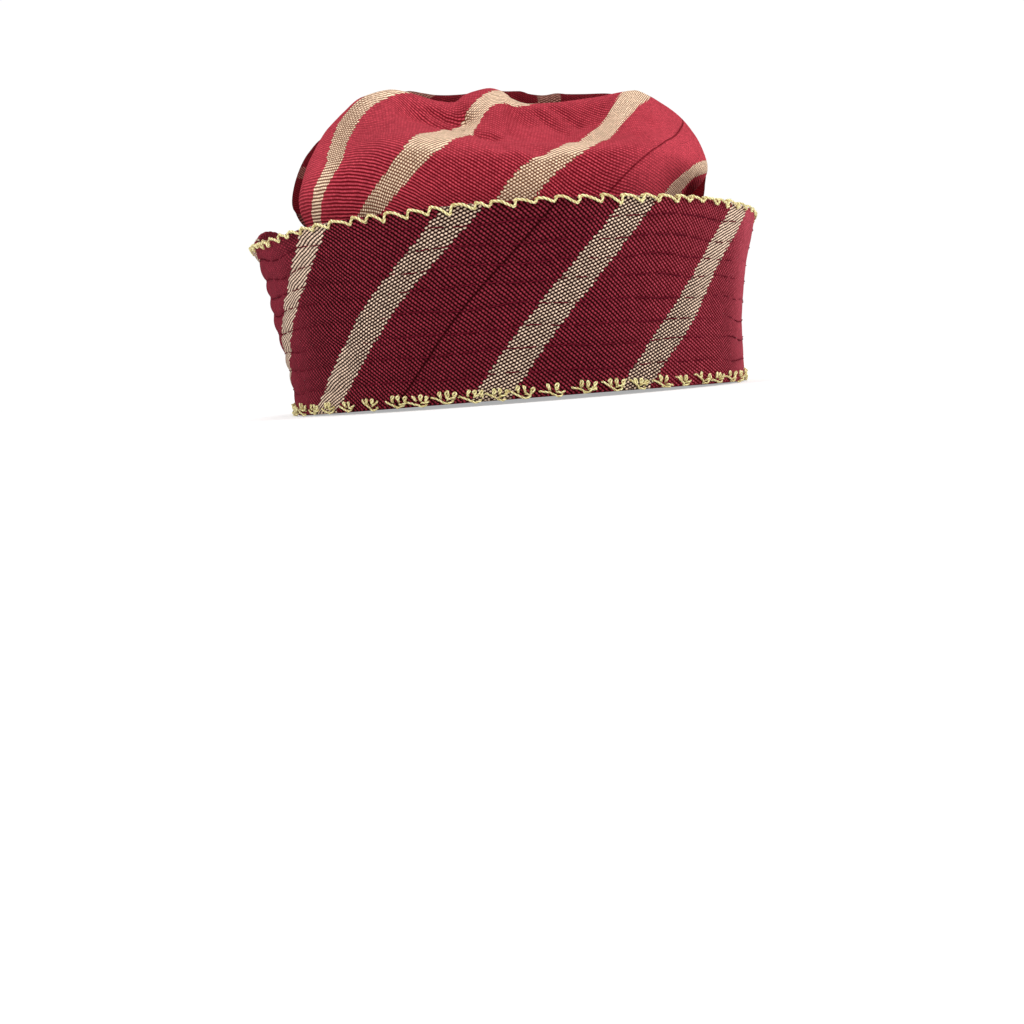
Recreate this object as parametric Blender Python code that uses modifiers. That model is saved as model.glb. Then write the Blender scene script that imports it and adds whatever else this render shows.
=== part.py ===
"""A fila: a soft cap of handwoven striped cloth with a quilted turn-up band.

Run it with blender --background --python part.py, or from Blender's text editor. Lengths are metres, +Z
is up and the front of the cap is towards +X. The origin is under the middle of the rim, on the surface
that the cap rests on. The near side is towards -Y and the far side towards +Y.
"""

from collections import namedtuple

import bpy
import numpy as np

# Driving dimensions
OPENING_LENGTH = 0.2050  # outside the band's bottom edge, front to back
OPENING_WIDTH = 0.1720  # outside the band's bottom edge, side to side
BAND_HEIGHT = 0.0745  # resting surface to the band's rim, at the sides
RIM_FRONT_DROP = 0.0022  # how much lower the rim is at the front
RIM_BACK_RISE = 0.0010  # how much higher it is at the back
CROWN_ABOVE_BAND = 0.0712  # the rim to the higher lobe's top in the cage, which smoothing lowers by 2 mm
BAND_WALL = 0.0030  # two layers of cloth over a thin padding
CROWN_WALL = 0.0020  # two layers of cloth
SEAT_GAP = 0.0003  # between band and crown where they are stitched together
CROWN_EDGE_LIFT = 0.0008  # the crown's bottom edge above the band's
TROUGH_OFFSET = 0.0050  # top seam from the middle plane, to the near side
VALLEY_WIDTH = 0.0220  # the upright valley at each end of the top seam

COLUMNS = 40  # cage columns round each piece
LOBE_PARTING = 4.0  # how sharply the near lobe's height gives way to the far lobe's at the ends
VALLEY_SINK = 0.4  # how far a valley sinks, as a share of how far it bends in
VALLEY_REACH = 3  # how closely a valley keeps to the very end

CRIMSON = (0.300, 0.012, 0.040, 1.0)
DEEP_CRIMSON = (0.170, 0.008, 0.026, 1.0)
CLOTH_ROUGHNESS = 0.85

# Band sections from the bottom edge to the rim. up is a share of BAND_HEIGHT, front and back are shares
# of half OPENING_LENGTH, side is a share of half OPENING_WIDTH.
BandSection = namedtuple("BandSection", "up front back side")
BAND_SECTIONS = (
    BandSection(0.00, 1.000, 1.000, 1.000),
    BandSection(0.12, 1.000, 1.000, 1.000),
    BandSection(0.45, 1.006, 1.044, 1.032),
    BandSection(0.78, 1.040, 1.068, 1.080),
    BandSection(1.00, 1.092, 1.132, 1.128),
)

# Crown sections inside the band. up is a share of BAND_HEIGHT. The reaches are shares of the crown's own
# half length and half width at its bottom edge. shift is a share of TROUGH_OFFSET.
SkirtSection = namedtuple("SkirtSection", "up front back near far shift")
SKIRT_SECTIONS = (
    SkirtSection(0.12, 1.000, 1.000, 1.000, 1.000, 0.00),
    SkirtSection(0.55, 0.945, 0.968, 1.005, 1.005, 0.33),
    SkirtSection(1.00, 0.858, 0.925, 1.044, 1.036, 0.67),
)

# Crown sections from the rim over the two lobes to the top seam. front, back and valley are shares of the
# crown's half length, near and far are shares of the way from the top seam's plane to each side, and the
# rises are shares of each lobe's height above the rim. square is 0 on an oval and fills out its corners.
LobeSection = namedtuple("LobeSection", "front back near far near_rise far_rise square valley")
LOBE_SECTIONS = (
    LobeSection(0.870, 0.960, 1.050, 1.040, 0.15, 0.15, 0.06, 0.07),
    LobeSection(0.892, 0.985, 1.030, 1.000, 0.34, 0.34, 0.12, 0.11),
    LobeSection(0.916, 0.998, 0.930, 0.890, 0.48, 0.54, 0.18, 0.14),
    LobeSection(0.930, 1.000, 0.750, 0.730, 0.64, 0.73, 0.23, 0.15),
    LobeSection(0.938, 0.996, 0.530, 0.540, 0.85, 0.91, 0.29, 0.16),
    LobeSection(0.938, 0.982, 0.345, 0.320, 1.00, 1.00, 0.35, 0.15),
    LobeSection(0.895, 0.930, 0.200, 0.180, 0.92, 0.90, 0.35, 0.11),
    LobeSection(0.820, 0.850, 0.090, 0.090, 0.76, 0.70, 0.35, 0.05),
    LobeSection(0.730, 0.740, 0.000, 0.000, 0.58, 0.47, 0.35, 0.00),
)

# Height of each lobe's ridge above the rim, as a share of CROWN_ABOVE_BAND. along is a share of the
# crown's half length, from the back at -1 to the front at 1.
RidgePoint = namedtuple("RidgePoint", "along near far")
RIDGE = (
    RidgePoint(-0.97, 0.220, 0.290),
    RidgePoint(-0.93, 0.370, 0.430),
    RidgePoint(-0.87, 0.490, 0.560),
    RidgePoint(-0.79, 0.610, 0.720),
    RidgePoint(-0.71, 0.720, 0.830),
    RidgePoint(-0.63, 0.805, 0.910),
    RidgePoint(-0.55, 0.840, 0.962),
    RidgePoint(-0.46, 0.847, 0.993),
    RidgePoint(-0.36, 0.805, 1.000),
    RidgePoint(-0.22, 0.733, 0.976),
    RidgePoint(-0.13, 0.790, 0.967),
    RidgePoint(-0.05, 0.815, 0.970),
    RidgePoint(0.02, 0.756, 0.970),
    RidgePoint(0.09, 0.700, 0.949),
    RidgePoint(0.22, 0.697, 0.920),
    RidgePoint(0.38, 0.716, 0.928),
    RidgePoint(0.52, 0.748, 0.906),
    RidgePoint(0.61, 0.745, 0.875),
    RidgePoint(0.69, 0.705, 0.825),
    RidgePoint(0.77, 0.640, 0.750),
    RidgePoint(0.83, 0.565, 0.655),
    RidgePoint(0.88, 0.460, 0.530),
    RidgePoint(0.92, 0.300, 0.350),
)

HALF_LENGTH = OPENING_LENGTH / 2
HALF_WIDTH = OPENING_WIDTH / 2
CROWN_HALF_LENGTH = HALF_LENGTH - BAND_WALL - SEAT_GAP
CROWN_HALF_WIDTH = HALF_WIDTH - BAND_WALL - SEAT_GAP
# The rim flares more at the back, so the opening stands this far forward of the middle of the rim.
OPENING_FORWARD = HALF_LENGTH * (BAND_SECTIONS[-1].back - BAND_SECTIONS[-1].front) / 2


def clear_scene():
    for obj in list(bpy.data.objects):
        bpy.data.objects.remove(obj)


def collection(name):
    made = bpy.data.collections.new(name)
    bpy.context.scene.collection.children.link(made)
    return made


def cloth_material(name, colour):
    material = bpy.data.materials.new(name)
    material.use_nodes = True
    principled = material.node_tree.nodes["Principled BSDF"]
    principled.inputs["Base Color"].default_value = colour
    principled.inputs["Roughness"].default_value = CLOTH_ROUGHNESS
    principled.inputs["Metallic"].default_value = 0.0
    return material


def directions():
    """Cosine and sine of the angle of each cage column, anticlockwise from the front as seen from above."""
    angle = np.arange(COLUMNS) * 2 * np.pi / COLUMNS
    return np.cos(angle), np.sin(angle)


def ring(x, y, z):
    return np.stack([x + OPENING_FORWARD, y, np.broadcast_to(z, x.shape)], axis=1)


def band_ring(section):
    cosine, sine = directions()
    reach = np.where(cosine > 0, section.front, section.back)
    x = reach * HALF_LENGTH * cosine
    y = section.side * HALF_WIDTH * sine
    front_drop = RIM_FRONT_DROP * np.maximum(cosine, 0) ** 3
    back_rise = RIM_BACK_RISE * np.maximum(-cosine, 0) ** 3
    return ring(x, y, section.up * (BAND_HEIGHT - front_drop + back_rise))


def crown_plan(section, shift, square):
    """Plan of one crown section: its reach along X, and its sides measured from the top seam's plane."""
    cosine, sine = directions()
    middle = -shift * TROUGH_OFFSET
    fullness = np.abs(sine) ** (1 - square)
    x = np.where(cosine > 0, section.front, section.back) * CROWN_HALF_LENGTH * cosine
    near_y = middle - section.near * (CROWN_HALF_WIDTH + middle) * fullness
    far_y = middle + section.far * (CROWN_HALF_WIDTH - middle) * fullness
    return x, np.where(sine < 0, near_y, far_y)


def skirt_ring(section, height):
    x, y = crown_plan(section, section.shift, 0.0)
    return ring(x, y, height)


def lobe_ring(section):
    """A section over the lobes: it follows their ridges in height and bends in at the valleys."""
    cosine, sine = directions()
    x, y = crown_plan(section, 1.0, section.square)
    along = [point.along for point in RIDGE]
    near_ridge = np.interp(x / CROWN_HALF_LENGTH, along, [point.near for point in RIDGE])
    far_ridge = np.interp(x / CROWN_HALF_LENGTH, along, [point.far for point in RIDGE])
    far_side = 0.5 + 0.5 * np.tanh(LOBE_PARTING * sine)
    rise = section.near_rise * near_ridge * (1 - far_side) + section.far_rise * far_ridge * far_side
    from_seam = (y + TROUGH_OFFSET) / (VALLEY_WIDTH / 2)
    end_nearness = np.exp(-from_seam**2) * np.abs(cosine) ** VALLEY_REACH
    dent = section.valley * CROWN_HALF_LENGTH * end_nearness
    z = BAND_HEIGHT + rise * CROWN_ABOVE_BAND - VALLEY_SINK * dent
    return ring(x - np.sign(cosine) * dent, y, z)


def crown_rings():
    edge, *rest = SKIRT_SECTIONS
    rings = [skirt_ring(edge, CROWN_EDGE_LIFT), skirt_ring(edge, edge.up * BAND_HEIGHT)]
    rings += [skirt_ring(section, section.up * BAND_HEIGHT) for section in rest]
    rings += [lobe_ring(section) for section in LOBE_SECTIONS]
    return rings


def loft(name, rings, home, closed_by_seam=False):
    """Open surface through the rings. A closing seam joins the last ring's near half to its far half."""
    points = np.concatenate(rings)
    index = np.arange(len(points)).reshape(len(rings), COLUMNS)
    if closed_by_seam:
        column = np.arange(COLUMNS)
        index[-1] = index[-1][np.minimum(column, COLUMNS - column)]
        points = points[: index.max() + 1]
    after = np.roll(index, -1, axis=1)
    faces = np.stack([index[:-1], after[:-1], after[1:], index[1:]], axis=-1).reshape(-1, 4)
    mesh = bpy.data.meshes.new(name)
    mesh.from_pydata(points.tolist(), [], faces.tolist())
    mesh.shade_smooth()
    obj = bpy.data.objects.new(name, mesh)
    home.objects.link(obj)
    return obj


def cloth_wall(obj, wall, material):
    """Smooths the open cage and gives it its wall, inwards from the outer face."""
    smoothing = obj.modifiers.new("Smooth form", "SUBSURF")
    smoothing.levels = 1
    smoothing.render_levels = 1
    thickness = obj.modifiers.new("Cloth wall", "SOLIDIFY")
    thickness.thickness = wall
    thickness.offset = -1
    obj.data.materials.append(material)


def make_cuff(home):
    cuff = loft("cuff", [band_ring(section) for section in BAND_SECTIONS], home)
    cloth_wall(cuff, BAND_WALL, cloth_material("Quilted band cloth", DEEP_CRIMSON))


def make_crown(home):
    crown = loft("crown", crown_rings(), home, closed_by_seam=True)
    cloth_wall(crown, CROWN_WALL, cloth_material("Crown cloth", CRIMSON))


def main():
    clear_scene()
    home = collection("fila_cap")
    make_cuff(home)
    make_crown(home)


main()
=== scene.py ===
from collections import namedtuple
from functools import partialmethod

import bpy
import numpy as np
from mathutils import Matrix, Vector


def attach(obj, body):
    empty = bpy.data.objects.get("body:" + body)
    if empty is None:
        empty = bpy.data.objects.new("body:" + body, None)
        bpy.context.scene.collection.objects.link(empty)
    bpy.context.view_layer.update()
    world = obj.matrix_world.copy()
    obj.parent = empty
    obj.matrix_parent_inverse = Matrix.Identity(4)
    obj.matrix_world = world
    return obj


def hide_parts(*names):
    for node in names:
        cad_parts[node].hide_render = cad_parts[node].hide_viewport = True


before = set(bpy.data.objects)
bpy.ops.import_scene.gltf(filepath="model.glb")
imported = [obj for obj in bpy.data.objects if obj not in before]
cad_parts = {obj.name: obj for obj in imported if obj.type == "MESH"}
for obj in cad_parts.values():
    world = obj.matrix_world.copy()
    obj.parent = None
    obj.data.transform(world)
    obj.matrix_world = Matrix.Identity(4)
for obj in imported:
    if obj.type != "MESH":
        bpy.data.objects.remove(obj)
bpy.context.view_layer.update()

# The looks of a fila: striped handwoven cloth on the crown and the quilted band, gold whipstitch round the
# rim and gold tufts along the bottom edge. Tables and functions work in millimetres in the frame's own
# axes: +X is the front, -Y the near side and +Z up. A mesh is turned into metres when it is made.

MM = 0.001
PER_METRE = 1000.0


def rows(kind, *values):
    """A table: one row of the given kind for each tuple of its numbers."""
    return tuple(kind(*row) for row in values)


# Sizes
OPENING_LENGTH = 205.0  # outside the band's bottom edge, front to back
OPENING_WIDTH = 172.0  # outside the band's bottom edge, side to side
OPENING_FORWARD = 2.05  # the opening's middle from the middle of the rim
BAND_HEIGHT = 74.5  # resting surface to the rim, at the sides
BAND_WALL = 2.8  # two layers of cloth over a thin padding
RIM_ROUND = 1.1  # height of the rounded rim
HEM_ROUND = 0.55  # depth of the rounded bottom edge
CROWN_WALL = 1.6
CROWN_EDGE_LIFT = 0.4  # the crown's bottom edge above the band's
SEAT_GAP = 3.3  # from the band's outside to the crown's outside at the bottom edge
TROUGH_OFFSET = 5.0  # top seam from the middle plane, to the near side
VALLEY_PLACE = -11.0  # the upright valleys at the two ends, which lie nearer than the seam
VALLEY_WIDTH = 22.0

HALF_LENGTH = OPENING_LENGTH / 2
HALF_WIDTH = OPENING_WIDTH / 2
CROWN_HALF_LENGTH = HALF_LENGTH - SEAT_GAP
CROWN_HALF_WIDTH = HALF_WIDTH - SEAT_GAP

# Angles run anticlockwise from the front as seen from above, in radians.
TURN = 2 * np.pi
BACK = TURN / 2
NEAR = TURN * 3 / 4

# Rim and bottom edge. Spreads are in radians.
RIM_FRONT_DROP = 2.2
RIM_BACK_RISE = 1.0
DIP_DEPTH = 2.0  # just past the back on the near side
DIP_AT = np.radians(204)
DIP_SPREAD = 0.30
HUMP_RISE = 10.4  # the cloth over its stitches, just past the back on the far side
HUMP_AT = np.radians(165)
HUMP_SPREAD = 0.33
HUMP_LOSS = 0.6  # share of the hump that is lost towards the back seam
HEM_LIFT = 0.8  # the band's bottom edge above the resting surface, at the ends
HEM_SIDE_RISE = 1.4  # how much higher it is at the sides

# Band sections from the bottom edge to the rim. up is a share of BAND_HEIGHT, front and back are shares of
# half OPENING_LENGTH, side is a share of half OPENING_WIDTH.
BandSection = namedtuple("BandSection", "up front back side")
BAND_SECTIONS = rows(
    BandSection,
    (0.00, 0.996, 1.006, 1.000),
    (0.10, 0.994, 1.010, 1.000),
    (0.33, 0.995, 1.030, 1.018),
    (0.52, 1.006, 1.056, 1.040),
    (0.72, 1.026, 1.070, 1.072),
    (0.85, 1.050, 1.088, 1.096),
    (0.94, 1.064, 1.110, 1.116),
    (1.00, 1.073, 1.124, 1.126),
)
BAND_MEAN_OVAL = (1.035, 1.045)  # its half length and half width as shares of the opening's
BELOW_RIM = 0.985  # share of the height where the rounded rim starts
RIM_WRAP = 4.4  # length of cloth over the rim
OUTSIDE_ROWS, INSIDE_ROWS, EDGE_ROWS = 92, 24, 6
BAND_COLUMNS = 601
BAND_SOFTNESS = 0.35  # height of the band's long soft waves

# Quilting. Rows are shares of the band's height, and the padding stands out between each two.
QUILT_ROWS = (0.129, 0.256, 0.364, 0.482, 0.600, 0.698, 0.796, 0.901)
ROW_WANDER = 0.009  # how far a row strays from level, as a share of the band's height
ROW_PUCKER = 0.13  # how far the cloth puckers along a row
PUFF = 1.0  # how far the padding stands out at the back
FRONT_PUFF = 0.12  # share of it that is left at the front
PUFF_CHANGE = 0.30  # share by which it varies
GROOVE_WIDTH = 0.6
SEAM_WIDTH = 1.1
SEAM_DEPTH = 0.5
QUILT_THREAD = 0.21  # radius
QUILT_STITCH = 8.4
QUILT_DIVE = 0.55  # how deep a stitch's ends go into the cloth

# Crown sections: place is -1 at the bottom edge, 0 at the rim, 1 at the lobes' ridges and 2 at the top seam.
# up is a share of BAND_HEIGHT. The front, back and valley reaches are shares of the crown's half length, for
# the near lobe and the far lobe; near and far are shares of the way from the top seam's plane to each side.
# The rises are shares of each lobe's height above the rim, shift is a share of TROUGH_OFFSET, and square
# fills out the corners of the oval.
CrownSection = namedtuple(
    "CrownSection",
    "place up near_front far_front near_back far_back near far near_rise far_rise valley shift square",
)
CROWN_SECTIONS = rows(
    CrownSection,
    (-1.00, 0.008, 0.999, 0.999, 1.010, 1.010, 1.005, 1.005, 0.00, 0.00, 0.00, 0.00, 0.00),
    (-0.88, 0.120, 0.997, 0.997, 1.014, 1.014, 1.005, 1.005, 0.00, 0.00, 0.00, 0.00, 0.00),
    (-0.45, 0.550, 0.935, 0.935, 0.960, 0.950, 1.005, 1.005, 0.00, 0.00, 0.00, 0.33, 0.00),
    (-0.10, 0.920, 0.815, 0.850, 0.900, 0.830, 1.036, 1.030, 0.00, 0.00, 0.05, 0.60, 0.00),
    (0.00, 1.000, 0.785, 0.862, 0.893, 0.845, 1.044, 1.036, 0.03, 0.03, 0.08, 0.70, 0.02),
    (0.16, 1.000, 0.820, 0.908, 0.916, 0.890, 1.050, 1.040, 0.17, 0.17, 0.15, 1.00, 0.06),
    (0.32, 1.000, 0.868, 0.934, 0.928, 0.950, 1.030, 1.000, 0.35, 0.36, 0.19, 1.00, 0.12),
    (0.48, 1.000, 0.888, 0.944, 0.930, 0.976, 0.930, 0.890, 0.50, 0.56, 0.22, 1.00, 0.18),
    (0.64, 1.000, 0.896, 0.950, 0.930, 0.990, 0.750, 0.730, 0.66, 0.75, 0.24, 1.00, 0.23),
    (0.82, 1.000, 0.895, 0.958, 0.930, 1.006, 0.540, 0.480, 0.86, 0.93, 0.25, 1.00, 0.29),
    (1.00, 1.000, 0.880, 0.958, 0.920, 0.998, 0.385, 0.220, 1.00, 1.00, 0.24, 1.00, 0.35),
    (1.30, 1.000, 0.820, 0.900, 0.870, 0.935, 0.250, 0.120, 0.84, 0.76, 0.17, 1.00, 0.35),
    (1.62, 1.000, 0.775, 0.810, 0.800, 0.835, 0.120, 0.055, 0.58, 0.50, 0.08, 1.00, 0.35),
    (2.00, 1.000, 0.730, 0.730, 0.740, 0.740, 0.000, 0.000, 0.38, 0.33, 0.00, 1.00, 0.35),
)
FRONT_CORNERS, BACK_CORNERS = 1.6, 1.15  # how much of a section's square each end's corners take
FAR_END_FROM, FAR_END_TO = -24.0, 6.0  # y over which the near lobe's reach gives way to the far lobe's
LOBE_PARTING = 4.0  # how sharply the near lobe's height gives way to the far lobe's at the ends
VALLEY_SINK = 0.4  # how far a valley sinks, as a share of how far it bends in
VALLEY_REACH = 3  # how closely a valley keeps to the very end
CROWN_MEAN_OVAL = (0.90, 1.04)  # its half length and half width as shares of the crown's
SKIRT_ROWS, FLANK_ROWS, OVER_ROWS = 14, 92, 34
CROWN_COLUMNS = 337
CROWN_ROUND = 560.0  # length round that gives the back seam its width
OVER_LENGTH = 40.0  # cloth from a ridge to the top seam
TOP_SEAM_WIDTH = 1.2

# The lobes' ridges: x from the opening's middle, and each ridge's height above the resting surface.
RidgePoint = namedtuple("RidgePoint", "x near far")
RIDGE = rows(
    RidgePoint,
    (-101, 80, 96), (-97, 84, 107), (-93, 90, 113.5), (-90, 99, 117),
    (-87.5, 105, 119.3), (-84.5, 110.5, 122), (-81, 114.3, 124.5), (-74.9, 119.5, 129),
    (-67.8, 125.6, 134.5), (-59.1, 130.8, 139.5), (-47.1, 132.6, 142.3), (-40.1, 131.1, 142.8),
    (-34, 128.8, 141.6), (-27.3, 126.3, 140.3), (-20.3, 125.2, 139.9), (-16.5, 127.6, 139.9),
    (-11.1, 129.1, 140.3), (-5.8, 129.8, 140.7), (0, 128, 140.6), (3.8, 124.8, 140),
    (10.8, 122.5, 139.6), (15, 122.4, 138), (22, 122.4, 137), (27, 122.7, 137.5),
    (31.9, 123.1, 136.8), (40.5, 123.9, 136.2), (49.2, 125.1, 135.8), (55.7, 125.7, 134.6),
    (62.2, 123.3, 132.6), (66.6, 120.9, 130), (73.6, 116.9, 127), (78.6, 113.4, 124.5),
    (82, 110.2, 122), (84.5, 105.8, 120), (86.5, 101, 118), (90, 92, 113.5),
    (93, 86, 108.5), (95, 82, 103), (97, 80, 96),
)

# Folds and creases of the near lobe: a soft bump (depth above 0) or hollow along a line from (x0, h0) to
# (x1, h1), where x runs from the opening's middle and h is the cloth's length up from the rim.
Fold = namedtuple("Fold", "x0 h0 x1 h1 width depth")
NEAR_FOLDS = rows(
    Fold,
    (-48, 28, -24, 27, 9, 2.5),
    (-36, 60, -18, 56, 8, -5),
    (-4, 41, 30, 43, 13, -4.5),
    (30, 43, 58, 36, 12, -3),
    (10, 59, 38, 57, 8, -4.2),
    (-30, 66, -19, 60, 1.8, -1.3),
    (-34, 63, -24, 58, 1.5, -1.1),
    (-14, 44, -5, 22, 3.6, -1.6),
    (-7, 38, 10, 19, 3.6, -1.5),
    (-15, 43, -3, 39, 1.5, -1.2),
    (13, 66, 24, 52, 1.7, -1.1),
    (20, 68, 30, 57, 1.6, -1),
    (58, 45, 62, 41, 1.8, -1.2),
    (52, 36, 57, 23, 2.2, -1.3),
    (-84, 18, -72, 50, 9, 1.5),
)

# Weave and stripes, in the cloth's own measures
ROW_PITCH = 1.40  # weft rows, along the stripes
GRAIN_PITCH = 1.30  # grains of yarn along one row; the next row's grains lie halfway between
STRIPE_EVERY = 45.0
STRIPE_WIDTH = 11.4
STRIP_WIDTH = 141.0  # one woven strip, three stripes wide
LAST_STRIPE = 101.5  # right edge of a strip's third stripe
JOIN_PLACE = 121.2  # where two strips are sewn together

# Stripe lines. Each row is a line's place across the cloth, counted from a strip's left edge, then the length
# round the piece where it crosses each of the heights, from the middle of the near side. The band's are the
# middles of its cream stripes and one line in the red, at 65. Its first and last rows only carry the cloth on
# round the far side.
BAND_STRIPE_HEIGHTS = (0.0, 37.0, 74.5)
BAND_STRIPES = (
    (-247, -372, -330, -289),
    (-90.3, -160, -119, -78),
    (-45.3, -99, -60, -19),
    (5.7, -17, 14, 47),
    (50.7, 43, 76, 103.5),
    (65, 63, 95, 122),
    (95.7, 140, 172, 203),
    (377.7, 516, 548, 580),
)

# The crown's are the edges of its stripes and one join between strips, and its heights are lengths up from
# the rim. They bend over the near side's folds. The far side's lean evenly, so a row there has the length
# round at the rim alone, for a stripe's edge or middle.
CROWN_STRIPE_HEIGHTS = (0.0, 12.0, 24.0, 36.0, 48.0, 60.0, 72.0, 120.0)
CROWN_STRIPES = (
    (0, -104.5, -95.5, -83.5, -80, -76, -71, -60, -18),
    (11.4, -98, -87, -73, -69, -64, -58, -46, -3),
    (45, -71.5, -55, -41.5, -34, -25.5, -22, -9, 36),
    (56.4, -58, -40.5, -25, -17, -14.5, -8, 9.5, 50),
    (90, -9, 2, 20, 24.5, 30, 45, 57, 92),
    (101.4, 6.5, 20, 34.5, 39.5, 51, 67, 80, 112),
    (121.2, 40, 52, 68, 81, 92, 104, 117, 150),
    (141, 75, 86, 110, 128, 138, 146, 154, 192),
    (152.4, 89, 98, 121, 140, 151, 160, 168, 208),
    (186, 142, 157, 172, 187, 202, 217, 236, 248),
    (197.4, 151, 167, 183, 199, 214, 230, 248, 260),
)
FAR_STRIPES = (
    (-51, -172), (-90.3, -232), (-141, -305), (236.7, 208), (287.7, 276), (332.7, 336),
    (377.7, 392), (428.7, 460),
)
FAR_LEAN = 1.0  # length round for each length up on the far side

# How far the yarns lean, in degrees, by the length round from the middle of the near side, and how far apart
# their rows are.
GrainLean = namedtuple("GrainLean", "arc degrees pitch")
CROWN_GRAIN = rows(
    GrainLean,
    (-138, 4, 1.40), (-88, 9, 1.40), (-68, 12, 1.38), (-47, 26, 1.30), (-25, 38, 1.18),
    (18, 38, 1.15), (36, 32, 1.10), (57, 20, 1.02), (75, 12, 1.05), (110, 8, 1.15),
    (250, 30, 1.20), (413, -6, 1.40),
)
BAND_GRAIN = rows(
    GrainLean,
    (-148, 38, 1.40), (-90, 42, 1.40), (0, 45, 1.40), (60, 43, 1.34), (100, 37, 1.15),
    (148, 36, 1.20), (445, 38, 1.40),
)
GRAIN_LEVEL = 36.0  # height where the rows are evenly spaced round the piece

# A stitch's path is a row of points: how far along, which is forwards on the near side, how far up from its
# edge, and how far out from the cloth's face.
STITCH_CHANGE = 0.13  # how far a stitch's points stray
PLY_TWIST = 0.30  # turns a millimetre of the gold thread's two plies
PLY_SWELL = 0.18  # how far the plies stand out, as a share of the radius
END_TAPER = 0.75  # radius of a strand's two ends, as a share

# Rim stitch: from the inside over the rim, slanting down to the point of its V and back up over the rim.
RIM_STITCH = (
    (-7.2, -0.4, -1.4), (-7.4, 0.1, -0.6), (-6.9, 0.2, 0.4), (-5.6, 0.0, 1.0), (-3.8, -0.4, 1.1),
    (-2.0, -1.2, 1.0), (-0.6, -2.0, 0.75), (0.1, -2.2, 0.6), (0.5, -1.7, 0.8), (0.8, -0.9, 0.9),
    (1.0, -0.2, 0.7), (1.0, 0.1, -0.1), (0.9, -0.3, -1.3),
)
RIM_THREAD = 0.50  # radius
RIM_PITCH = 8.2
RIM_EARLY = 0.22  # how early or late a stitch may come, as a share of the pitch
CLOSER_AT_BACK = 0.36  # share by which the stitches are closer together at the back
THINNER_AT_ENDS = 0.30  # share by which the thread is pulled thinner at the back and the front
END_REACH = 45.0  # length round from the back or the front over which that holds
SHORTER_AT_FRONT = 0.45  # share by which the stitches are pulled short at the very front
FRONT_REACH = 38.0
EDGE_PULL = 0.3  # how far a stitch pulls the cloth's edge down where it crosses over
EDGE_PULL_WIDTH = 1.2

# Tufts along the bottom edge: the strands of one tuft, from the middle of its foot.
TUFT_STROKE = (
    (-5.2, 2.6, 0.0), (-4.7, 2.5, 0.8), (-3.2, 1.8, 1.0), (-1.6, 0.9, 1.0), (-0.5, 0.3, 0.7),
    (-0.1, 0.1, -0.2),
)
TUFT_LOOP = (
    (0.10, -0.5, 0.1), (-0.25, 0.3, 0.7), (-0.42, 1.3, 0.9), (-0.05, 2.0, 0.9), (0.42, 1.5, 1.0),
    (0.28, 0.5, 1.0), (0.05, -0.4, 0.7),
)
TUFT_FOOT = (
    (-0.9, 0.1, 0.3), (0.4, -0.2, 0.9), (1.6, -0.1, 1.0), (2.5, 0.4, 0.8), (2.8, 1.1, 0.1),
)
TUFT_BAR = (
    (0.6, 1.0, 0.2), (1.2, 1.3, 1.1), (2.4, 1.2, 1.3), (3.4, 1.6, 0.8), (3.7, 2.0, 0.1),
)
# Each strand of a tuft: its path, its place, its tilt in radians, the share of the tufts that have it, and
# its steps from point to point.
TuftStrand = namedtuple("TuftStrand", "path along up tilt share steps")
TUFT_STRANDS = rows(
    TuftStrand,
    (TUFT_STROKE, 0.0, 0.0, 0.00, 1.00, 3),
    (TUFT_LOOP, -1.7, 2.2, -0.15, 1.00, 2),
    (TUFT_LOOP, 0.7, 2.1, 0.05, 0.92, 2),
    (TUFT_LOOP, 3.1, 1.6, 0.35, 0.75, 2),
    (TUFT_FOOT, 0.0, 0.0, 0.00, 1.00, 2),
    (TUFT_BAR, 0.0, 0.0, 0.00, 0.85, 2),
)
TUFT_THREAD = 0.40  # radius
TUFT_PITCH = 11.2
TUFT_TILT_CHANGE = 0.20
TUFT_LOWEST = 1.25 * TUFT_THREAD + 0.05  # from the resting surface to a strand's middle

# Colours and reaches of the two cloths. A reach is how far a grain of yarn spreads along its row, in grains.
BAND_FINISH = {
    "Red": (0.30, 0.032, 0.053, 1),
    "Red gap": (0.012, 0.0, 0.0, 1),
    "Cream": (0.95, 0.70, 0.53, 1),
    "Cream gap": (0.012, 0.0, 0.0, 1),
    "Red reach": 0.59,
    "Cream reach": 0.39,
}
CROWN_FINISH = {
    "Red": (0.57, 0.064, 0.090, 1),
    "Red gap": (0.10, 0.0, 0.004, 1),
    "Cream": (1.0, 0.74, 0.53, 1),
    "Cream gap": (0.14, 0.048, 0.022, 1),
    "Red reach": 0.66,
    "Cream reach": 0.47,
}
# Painted light on the band: its red yarn and gaps are painted paler towards the front end, where the light
# falls.
PAINTED_LIGHT_RED = (1.85, 3.0, 2.5, 1)  # painted light: how much paler the red yarn is painted towards the band's front end
PAINTED_LIGHT_GAP = (0.16, 0.002, 0.006, 1)
PAINTED_SHADE = (0.17, 0.03, 0.05)  # painted shade: share of the crown's colour that is left where its folds lie in shade

# Camera at the photograph's place, in millimetres, degrees and the photograph's pixels
CAMERA_PLACE = (-24.90, -514.29, 12.0)
CAMERA_LEAN, CAMERA_PITCH, CAMERA_ROLL = 2.056, -7.164, 4.456
LENS_PIXELS = 1108
PICTURE_PIXELS = 1024
SENSOR_WIDTH = 36


def hermite(start, end, start_slope, end_slope, step, u):
    """Cubic between two values a step apart, at the share u, that starts and ends with the given slopes."""
    return (
        (2 * u**3 - 3 * u**2 + 1) * start
        + (u**3 - 2 * u**2 + u) * step * start_slope
        + (3 * u**2 - 2 * u**3) * end
        + (u**3 - u**2) * step * end_slope
    )


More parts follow.
